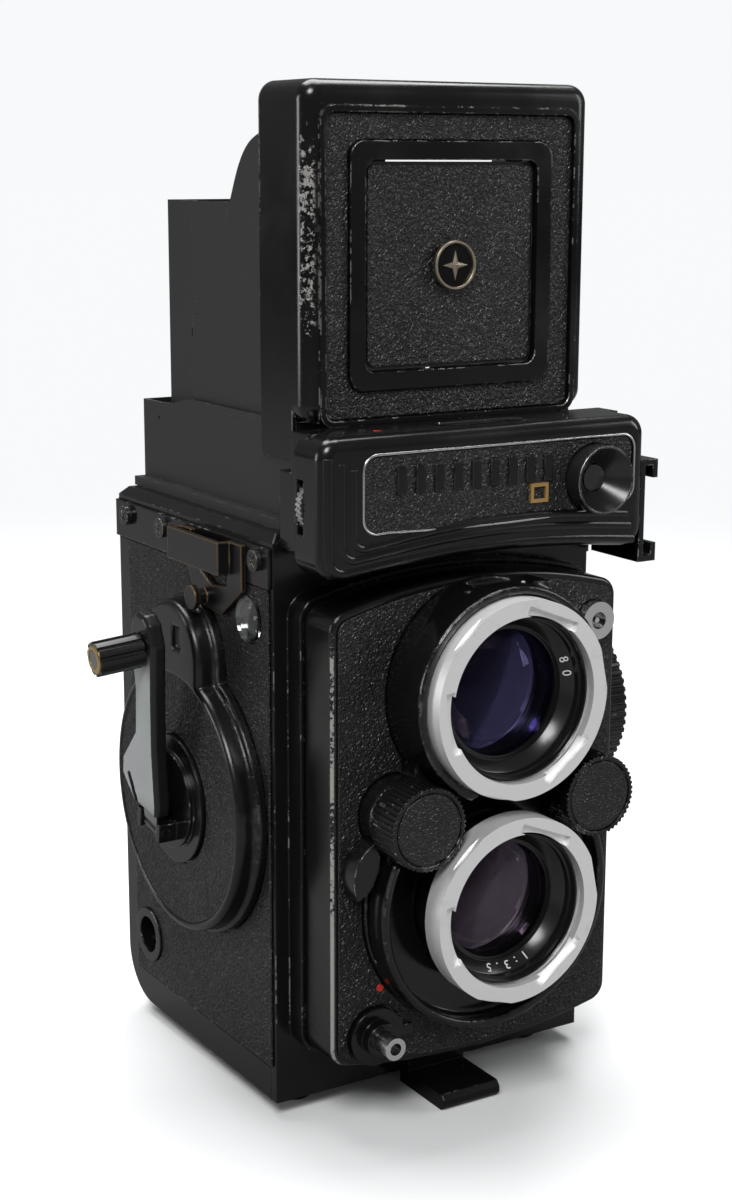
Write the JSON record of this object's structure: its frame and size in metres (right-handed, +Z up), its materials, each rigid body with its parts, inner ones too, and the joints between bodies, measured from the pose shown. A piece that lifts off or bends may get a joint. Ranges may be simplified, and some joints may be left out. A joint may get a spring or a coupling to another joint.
{
  "type": "twin lens reflex camera",
  "caption": "Twin lens reflex camera: leather-covered box body with two stacked front lenses, a side winding crank and an open folding viewing hood.",
  "frame": {"origin": "axis of the tripod socket on the underside of the body's base", "axes": "+Z up, lenses face -Y, winding crank on the -X side, focusing knob on the +X side"},
  "size_m": [0.1114, 0.106, 0.2065],
  "materials": {
    "black_enamel": "gloss black enamel, rubbed through to metal on the edges",
    "leatherette": "black pebble-grain covering",
    "hood_sheet": "semi-matt black on thin sheet",
    "matt_black": "matt black, anti-reflection",
    "chrome": "bright chrome with light handling marks",
    "steel": "plain turned steel",
    "brass": "machined brass",
    "spool_plastic": "black moulded plastic",
    "knob_plastic": "black moulded grip",
    "lens_glass": "coated optical glass",
    "clear_glass": "clear window",
    "frosted_glass": "ground on its lower face",
    "silvered": "front-silvered",
    "dial_card": "dark dial card with pale printed figures",
    "dark_steel": "blackened steel, worn bright on the edges"
  },
  "bodies": {
    "camera_body": {"body_shell": "black_enamel", "side_leathers": "leatherette", "side_trim_strips": "black_enamel", "trim_screws": "dark_steel", "strap_lugs": "black_enamel", "counter_window": "clear_glass", "side_port_bush": "black_enamel", "crank_housing": "black_enamel", "crank_disc_leather": "leatherette", "mirror_glass": "silvered", "ground_glass": "frosted_glass", "front_foot": "black_enamel", "hood_base": "hood_sheet", "hinge_pins": "steel", "lid_tray": "black_enamel", "lid_leather": "leatherette", "nameplate_housing": "black_enamel", "nameplate_leather": "leatherette", "cell_bezel": "dark_steel", "meter_glasses": "clear_glass", "accessory_shoe": "black_enamel"},
    "crank": {"crank_hub": "black_enamel"},
    "crank_arm": {"crank_arm": "black_enamel"},
    "crank_knob": {"crank_knob": "knob_plastic"},
    "idler": {"idler_gear": "brass"},
    "takeup": {"takeup_gear": "brass", "takeup_spool": "spool_plastic"},
    "feed": {"feed_spool": "spool_plastic"},
    "roller": {"film_roller": "steel"},
    "counter": {"counter_dial": "dial_card"},
    "focus_knob": {"focus_knob": "black_enamel"},
    "standard": {"front_standard": "black_enamel", "standard_leather": "leatherette", "lens_shroud": "black_enamel", "bayonet_rings": "chrome", "lens_barrels": "matt_black", "lens_glasses": "lens_glass", "shutter_block": "matt_black", "sync_socket": "chrome"},
    "aperture_dial": {"aperture_dial": "black_enamel"},
    "speed_dial": {"speed_dial": "black_enamel"},
    "timer_lever": {"timer_lever": "black_enamel"},
    "release_button": {"release_button": "chrome"},
    "release_collar": {"release_collar": "black_enamel"},
    "back_door": {"back_door": "black_enamel", "tripod_bush": "steel"},
    "pressure_plate": {"pressure_plate": "matt_black"},
    "lock_dial": {"lock_dial": "black_enamel"},
    "feed_knob": {"feed_knob": "black_enamel"},
    "takeup_knob": {"takeup_knob": "black_enamel"},
    "left_wing": {"left_wing": "hood_sheet"},
    "right_wing": {"right_wing": "hood_sheet"},
    "rear_shield": {"rear_shield": "hood_sheet"},
    "finder_door": {"finder_door": "hood_sheet", "door_leather": "leatherette"},
    "magnifier": {"magnifier_frame": "matt_black", "magnifier_lens": "clear_glass"},
    "meter_needle": {"meter_needle": "matt_black"},
    "film_speed_wheel": {"film_speed_wheel": "steel"}
  },
  "joints": [
    {"name": "crank_turn", "type": "hinge", "parent": "camera_body", "child": "crank", "pos_m": [-0.045, -0.0035, 0.0578], "axis": [1, 0, 0], "continuous": true},
    {"name": "crank_fold", "type": "hinge", "parent": "crank", "child": "crank_arm", "pos_m": [-0.0488, -0.00269, 0.05266], "axis": [0, 0.9877, 0.1564], "range_deg": [-168, 0]},
    {"name": "crank_knob_spin", "type": "hinge", "parent": "crank_arm", "child": "crank_knob", "pos_m": [-0.05928, -0.00886, 0.09162], "axis": [-0.9962, 0.0136, -0.0861], "continuous": true},
    {"name": "idler_turn", "type": "hinge", "parent": "camera_body", "child": "idler", "pos_m": [-0.0347, 0.00561, 0.07419], "axis": [1, 0, 0], "continuous": true},
    {"name": "takeup_turn", "type": "hinge", "parent": "camera_body", "child": "takeup", "pos_m": [-0.0347, 0.02, 0.085], "axis": [1, 0, 0], "continuous": true},
    {"name": "counter_turn", "type": "hinge", "parent": "camera_body", "child": "counter", "pos_m": [-0.0355, -0.0225, 0.0975], "axis": [1, 0, 0], "continuous": true},
    {"name": "feed_turn", "type": "hinge", "parent": "camera_body", "child": "feed", "pos_m": [0, -0.0175, 0.0148], "axis": [1, 0, 0], "continuous": true},
    {"name": "roller_turn", "type": "hinge", "parent": "camera_body", "child": "roller", "pos_m": [0, 0.0225, 0.01], "axis": [1, 0, 0], "continuous": true},
    {"name": "focus_turn", "type": "hinge", "parent": "camera_body", "child": "focus_knob", "pos_m": [0.042, -0.021, 0.072], "axis": [1, 0, 0], "range_deg": [0, 240]},
    {"name": "focus_slide", "type": "slide", "parent": "camera_body", "child": "standard", "axis": [0, -1, 0], "range_m": [0, 0.007]},
    {"name": "aperture_turn", "type": "hinge", "parent": "standard", "child": "aperture_dial", "pos_m": [-0.0204, -0.06, 0.064], "axis": [0, 1, 0], "range_deg": [-75, 75]},
    {"name": "speed_turn", "type": "hinge", "parent": "standard", "child": "speed_dial", "pos_m": [0.0204, -0.06, 0.064], "axis": [0, 1, 0], "range_deg": [-75, 75]},
    {"name": "timer_swing", "type": "hinge", "parent": "standard", "child": "timer_lever", "pos_m": [0, -0.0522, 0.0442], "axis": [0, -1, 0], "range_deg": [0, 36]},
    {"name": "release_press", "type": "slide", "parent": "standard", "child": "release_button", "axis": [0, 1, 0], "range_m": [0, 0.0022]},
    {"name": "release_lock", "type": "hinge", "parent": "standard", "child": "release_collar", "pos_m": [-0.0243, -0.052, 0.018], "axis": [0, -1, 0], "range_deg": [0, 60]},
    {"name": "back_open", "type": "hinge", "parent": "camera_body", "child": "back_door", "pos_m": [0, 0.0378, 0.1132], "axis": [1, 0, 0], "range_deg": [0, 110]},
    {"name": "plate_shift", "type": "slide", "parent": "back_door", "child": "pressure_plate", "axis": [1, 0, 0], "range_m": [0, 0.006]},
    {"name": "lock_turn", "type": "hinge", "parent": "back_door", "child": "lock_dial", "pos_m": [0, 0, -0.0012], "axis": [0, 0, 1], "range_deg": [0, 90]},
    {"name": "feed_knob_pull", "type": "slide", "parent": "camera_body", "child": "feed_knob", "axis": [1, 0, 0], "range_m": [0, 0.006]},
    {"name": "takeup_knob_pull", "type": "slide", "parent": "camera_body", "child": "takeup_knob", "axis": [1, 0, 0], "range_m": [0, 0.006]},
    {"name": "left_wing_fold", "type": "hinge", "parent": "camera_body", "child": "left_wing", "pos_m": [-0.0302, -0.01, 0.1352], "axis": [0, 1, 0], "range_deg": [0, 90]},
    {"name": "right_wing_fold", "type": "hinge", "parent": "camera_body", "child": "right_wing", "pos_m": [0.0302, -0.01, 0.1366], "axis": [0, -1, 0], "range_deg": [0, 90]},
    {"name": "rear_shield_fold", "type": "hinge", "parent": "camera_body", "child": "rear_shield", "pos_m": [0, 0.0265, 0.1335], "axis": [1, 0, 0], "range_deg": [0, 90]},
    {"name": "finder_open", "type": "hinge", "parent": "camera_body", "child": "finder_door", "pos_m": [0, -0.0359, 0.1896], "axis": [-1, 0, 0], "range_deg": [-90, 0]},
    {"name": "magnifier_open", "type": "hinge", "parent": "finder_door", "child": "magnifier", "pos_m": [0, -0.0352, 0.184], "axis": [1, 0, 0], "range_deg": [0, 90]},
    {"name": "needle_swing", "type": "hinge", "parent": "camera_body", "child": "meter_needle", "pos_m": [0.0026, -0.0428, 0.1344], "axis": [0, 0, 1], "range_deg": [-25, 25]},
    {"name": "film_speed_turn", "type": "hinge", "parent": "camera_body", "child": "film_speed_wheel", "pos_m": [-0.032, -0.0458, 0.125], "axis": [0, 1, 0], "range_deg": [-135, 135]}
  ],
  "couplings": [
    {"joint": "idler_turn", "follows": "crank_turn", "ratio": -1.2727},
    {"joint": "takeup_turn", "follows": "crank_turn", "ratio": 1.0769},
    {"joint": "counter_turn", "follows": "crank_turn", "ratio": -0.0625},
    {"joint": "focus_turn", "follows": "focus_slide", "rad_per_m": 598.39}
  ]
}
